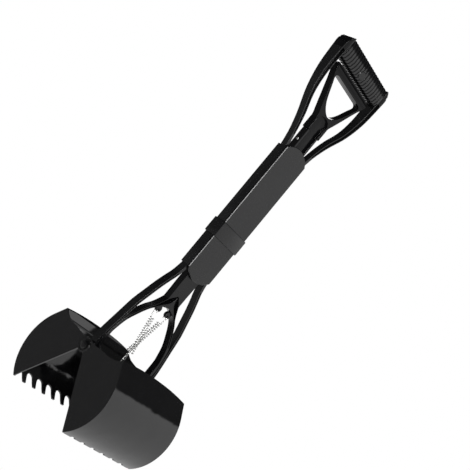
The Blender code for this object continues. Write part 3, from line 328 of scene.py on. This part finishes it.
def addHubRing(name, side, radius, half, v):
    shoulder = v["rise"] * v["shoulder"]
    crest = half * v["crest"]
    profile = [(radius - half, -v["sink"]), (radius - half, shoulder),
               (radius - crest, v["rise"]), (radius + crest, v["rise"]),
               (radius + half, shoulder), (radius + half, -v["sink"])]
    shape = bmesh.new()
    rings = []
    for i in range(v["steps"]):
        turn = 2 * math.pi * i / v["steps"]
        rings.append([shape.verts.new((side * (v["face"] + x), r * math.cos(turn),
                                       v["hinge"] + r * math.sin(turn)))
                      for r, x in profile])
    for i, ring in enumerate(rings):
        after = rings[(i + 1) % len(rings)]
        for j in range(len(profile)):
            k = (j + 1) % len(profile)
            shape.faces.new((ring[j], ring[k], after[k], after[j]))
    piece = meshPiece(name, shape, "jaw", v["smoothAngle"])
    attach(piece, bodyOf["front_jaw"])


for side, tag in ((-1, "Left"), (1, "Right")):
    for number, (radius, half) in enumerate(hubRings["rings"]):
        addHubRing("hubRing" + tag + str(number), side, radius, half, hubRings)
print("hub rings made")


# rounded ends of the D's rails: they close the rails' channels just under the corners
cornerEnd = {"inner": 0.0636, "outer": 0.0737, "top": 0.0185, "foot": -0.0085,
             "round": 0.0192, "halfLow": 0.0106, "halfTop": 0.0127, "edge": 0.0022,
             "levels": 26, "edgeSteps": 4, "edgeShare": 0.45, "smoothAngle": 50}


def cornerRing(shape, side, z, half, inner, outer, v):
    edge = min(v["edge"], (outer - inner) * v["edgeShare"])
    ring = []
    for cx, cy, start in ((outer - edge, half - edge, 0), (inner + edge, half - edge, 90),
                          (inner + edge, edge - half, 180), (outer - edge, edge - half, 270)):
        for i in range(v["edgeSteps"] + 1):
            angle = math.radians(start + 90 * i / v["edgeSteps"])
            ring.append(shape.verts.new((side * (cx + edge * math.cos(angle)),
                                         cy + edge * math.sin(angle), z)))
    return ring


def addCornerEnd(name, side, v):
    middleX = v["outer"] - v["round"]
    middleZ = v["top"] - v["round"]
    reach = math.sqrt(v["round"] ** 2 - (v["inner"] + v["edge"] * 0.5 - middleX) ** 2)
    high = middleZ + reach
    shape = bmesh.new()
    rings = []
    for i in range(v["levels"] + 1):
        share = math.sin(math.pi / 2 * i / v["levels"])
        z = v["foot"] + (high - v["foot"]) * share
        rise = max(0.0, z - middleZ)
        outer = middleX + math.sqrt(v["round"] ** 2 - rise ** 2)
        shrink = v["edge"] * max(0.0, 1 - (high - z) / v["edge"]) ** 2
        climb = (z - v["foot"]) / (v["top"] - v["foot"])
        half = v["halfLow"] + (v["halfTop"] - v["halfLow"]) * climb
        rings.append(cornerRing(shape, side, z, half - shrink, v["inner"], outer, v))
    for a, b in zip(rings, rings[1:]):
        for i in range(len(a)):
            j = (i + 1) % len(a)
            shape.faces.new((a[i], a[j], b[j], b[i]))
    shape.faces.new(rings[0])
    shape.faces.new(rings[-1])
    piece = meshPiece(name, shape, "lever", v["smoothAngle"])
    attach(piece, bodyOf["upper_housing"])


addCornerEnd("cornerEndLeft", -1, cornerEnd)
addCornerEnd("cornerEndRight", 1, cornerEnd)
print("corner ends made")


# springs: finer wire, hooked under the hinge rod and stretched to the fork's ears
springWire = {"rod": 0.003, "clear": 0.0004, "wire": 0.0014, "coil": 0.0035,
              "turns": 16, "steps": 24, "bottom": 0.0273, "tail": 0.0100, "spread": 0.0012,
              "earSide": 0.012, "earFoot": 0.097595, "earLoop": 0.0036, "hingeDrop": -0.5695,
              "rodSteps": 28, "rodTurn": 230, "earSteps": 23, "earTurn": 215, "ease": 1.5}


def springPath(side, v):
    hook = v["rod"] + v["clear"] + v["wire"] / 2
    rod = Vector((side * v["spread"], 0, v["hingeDrop"]))
    head = Vector((side * v["earSide"], 0, v["hingeDrop"] + v["earFoot"]))
    ease = v["wire"] * v["ease"]
    lean = v["spread"] + (v["earSide"] - v["spread"]) * v["bottom"] / v["earFoot"]
    foot = Vector((side * lean, side * (hook + v["coil"]), v["hingeDrop"] + v["bottom"]))
    length = (head - foot).length
    along = (head - foot).normalized()
    third = Vector((0, -side, 0)).cross(along).normalized()
    across = along.cross(third)

    def place(s, a, b):
        return foot + along * s + across * a + third * b

    points = []
    for i in range(v["rodSteps"] + 1):
        angle = math.radians(v["rodTurn"] - v["rodTurn"] * i / v["rodSteps"])
        points.append(rod + Vector((0, side * hook * math.cos(angle), -hook * math.sin(angle))))
    points.append(place(-ease, v["coil"], 0))
    count = v["turns"] * v["steps"]
    coilLength = length - v["tail"]
    for i in range(count + 1):
        angle = 2 * math.pi * i / v["steps"]
        points.append(place(coilLength * i / count, v["coil"] * math.cos(angle),
                            v["coil"] * math.sin(angle)))
    points.append(place(coilLength + ease, v["coil"], 0))
    for i in range(v["earSteps"] + 1):
        angle = math.radians(v["earTurn"] * i / v["earSteps"])
        points.append(place(length + v["earLoop"] * math.sin(angle),
                            v["earLoop"] * math.cos(angle), 0))
    return points


def addSpring(name, node, side, v):
    curve = bpy.data.curves.new(name, "CURVE")
    curve.dimensions = "3D"
    curve.bevel_depth = v["wire"] / 2
    curve.bevel_resolution = 3
    curve.use_fill_caps = True
    line = curve.splines.new("POLY")
    points = springPath(side, v)
    line.points.add(len(points) - 1)
    for point, place in zip(line.points, points):
        point.co = (*place, 1)
    drawn = bpy.data.objects.new(name + "Line", curve)
    scene.collection.objects.link(drawn)
    mesh = evaluatedMesh(drawn)
    bpy.data.objects.remove(drawn, do_unlink=True)
    mesh.shade_smooth()
    piece = bpy.data.objects.new(name, mesh)
    scene.collection.objects.link(piece)
    dress(piece, "spring")
    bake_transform(piece)
    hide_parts(node)


addSpring("leftSpring", "spring_left", -1, springWire)
addSpring("rightSpring", "spring_right", 1, springWire)
print("springs made")


# studio: a bright wide wall to the front and right, dark to the left and behind, as in a
# product tent; a tall key lamp near the camera for the thin lights along the edges, a small
# lamp on top, a soft one behind, and a white floor
studio = {
    "brightSide": (0.72, -0.69, 0.0), "sideStart": -0.10, "sideEnd": 0.55,
    "topStart": 0.40, "topEnd": 0.45, "dim": 0.11, "topDim": 0.08, "bright": 1.0,
    "floorDrop": 0.16, "floorSize": 30.0, "floorStart": -0.45, "floorEnd": -0.15,
    "shadowStart": 0.05, "shadowEnd": 0.25, "shadowShare": 0.96,
    "floorPaint": (0.9, 0.9, 0.9, 1), "floorDim": 0.22,
    "lamps": [
        # name, place, width, height, power
        ("keyStrip", (-1.05, -1.10, 0.02), 0.16, 1.3, 14.0),
        ("topSmall", (-0.3, -0.5, 1.3), 0.5, 0.5, 5.0),
        ("backSoft", (0.7, 1.5, 0.35), 1.1, 1.1, 16.0),
    ],
}


def addLamp(name, place, width, height, power, target=(0, 0, -0.33)):
    data = bpy.data.lights.new(name, "AREA")
    data.shape = "RECTANGLE"
    data.size = width
    data.size_y = height
    data.energy = power
    lamp = bpy.data.objects.new(name, data)
    scene.collection.objects.link(lamp)
    lamp.location = place
    lamp.rotation_mode = "QUATERNION"
    lamp.rotation_quaternion = (Vector(target) - Vector(place)).to_track_quat("-Z", "Y")


def ramp(tree, source, low, high, start, end):
    span = {"From Min": low, "From Max": high, "To Min": start, "To Max": end}
    node = addNode(tree, "ShaderNodeMapRange", span, interpolation_type="SMOOTHSTEP")
    tree.links.new(source, node.inputs["Value"])
    return node.outputs["Result"]


def product(tree, one, other):
    node = addNode(tree, "ShaderNodeMath", operation="MULTIPLY")
    tree.links.new(one, node.inputs[0])
    tree.links.new(other, node.inputs[1])
    return node.outputs[0]


def addWorld(v):
    world = bpy.data.worlds.new("studioWorld")
    scene.world = world
    world.use_nodes = True
    tree = world.node_tree
    back = tree.nodes["Background"]
    back.inputs["Color"].default_value = (1, 1, 1, 1)
    where = addNode(tree, "ShaderNodeTexCoord")
    toSide = addNode(tree, "ShaderNodeVectorMath", {1: v["brightSide"]},
                     operation="DOT_PRODUCT")
    tree.links.new(where.outputs["Generated"], toSide.inputs[0])
    apart = addNode(tree, "ShaderNodeSeparateXYZ")
    tree.links.new(where.outputs["Generated"], apart.inputs[0])
    sideLevel = ramp(tree, toSide.outputs["Value"], v["sideStart"], v["sideEnd"],
                     v["dim"], v["bright"])
    topLevel = ramp(tree, apart.outputs["Z"], v["topStart"], v["topEnd"], 1.0, v["topDim"])
    level = product(tree, sideLevel, topLevel)
    path = addNode(tree, "ShaderNodeLightPath")
    seen = addNode(tree, "ShaderNodeMapRange", {"To Max": 1.0})
    tree.links.new(path.outputs["Is Camera Ray"], seen.inputs["Value"])
    tree.links.new(level, seen.inputs["To Min"])
    tree.links.new(seen.outputs["Result"], back.inputs["Strength"])


def addFloor(v):
    low = cadBox[0].z - v["floorDrop"]
    mesh = bpy.data.meshes.new("studioFloor")
    shape = bmesh.new()
    bmesh.ops.create_grid(shape, x_segments=2, y_segments=2, size=v["floorSize"] / 2)
    shape.to_mesh(mesh)
    shape.free()
    floor = bpy.data.objects.new("studioFloor", mesh)
    floor.location = (0, 0, low)
    scene.collection.objects.link(floor)
    material = bpy.data.materials.new("floorWhite")
    material.use_nodes = True
    tree = material.node_tree
    tree.nodes.remove(tree.nodes["Principled BSDF"])
    paint = addNode(tree, "ShaderNodeBsdfDiffuse", {"Color": v["floorPaint"]})
    glow = addNode(tree, "ShaderNodeEmission")
    path = addNode(tree, "ShaderNodeLightPath")
    where = addNode(tree, "ShaderNodeTexCoord")
    toSide = addNode(tree, "ShaderNodeVectorMath", {1: v["brightSide"]},
                     operation="DOT_PRODUCT")
    tree.links.new(where.outputs["Object"], toSide.inputs[0])
    sideLevel = ramp(tree, toSide.outputs["Value"], v["floorStart"], v["floorEnd"],
                     v["floorDim"], v["bright"])
    strength = addNode(tree, "ShaderNodeMapRange", {"To Max": 1.0})
    tree.links.new(path.outputs["Is Camera Ray"], strength.inputs["Value"])
    tree.links.new(sideLevel, strength.inputs["To Min"])
    tree.links.new(strength.outputs["Result"], glow.inputs["Strength"])
    seen = addNode(tree, "ShaderNodeMath", operation="MAXIMUM")
    seenToo = addNode(tree, "ShaderNodeMath", operation="MAXIMUM")
    tree.links.new(path.outputs["Is Camera Ray"], seen.inputs[0])
    tree.links.new(path.outputs["Is Glossy Ray"], seen.inputs[1])
    tree.links.new(seen.outputs[0], seenToo.inputs[0])
    tree.links.new(path.outputs["Is Transmission Ray"], seenToo.inputs[1])
    far = addNode(tree, "ShaderNodeVectorMath", operation="LENGTH")
    tree.links.new(where.outputs["Object"], far.inputs[0])
    clear = ramp(tree, far.outputs["Value"], v["shadowStart"], v["shadowEnd"],
                 v["shadowShare"], 1.0)
    share = product(tree, seenToo.outputs[0], clear)
    mix = addNode(tree, "ShaderNodeMixShader")
    tree.links.new(share, mix.inputs[0])
    tree.links.new(paint.outputs[0], mix.inputs[1])
    tree.links.new(glow.outputs[0], mix.inputs[2])
    tree.links.new(mix.outputs[0], tree.nodes["Material Output"].inputs["Surface"])
    mesh.materials.append(material)


for lamp in studio["lamps"]:
    addLamp(*lamp)
addWorld(studio)
addFloor(studio)
print("studio made")
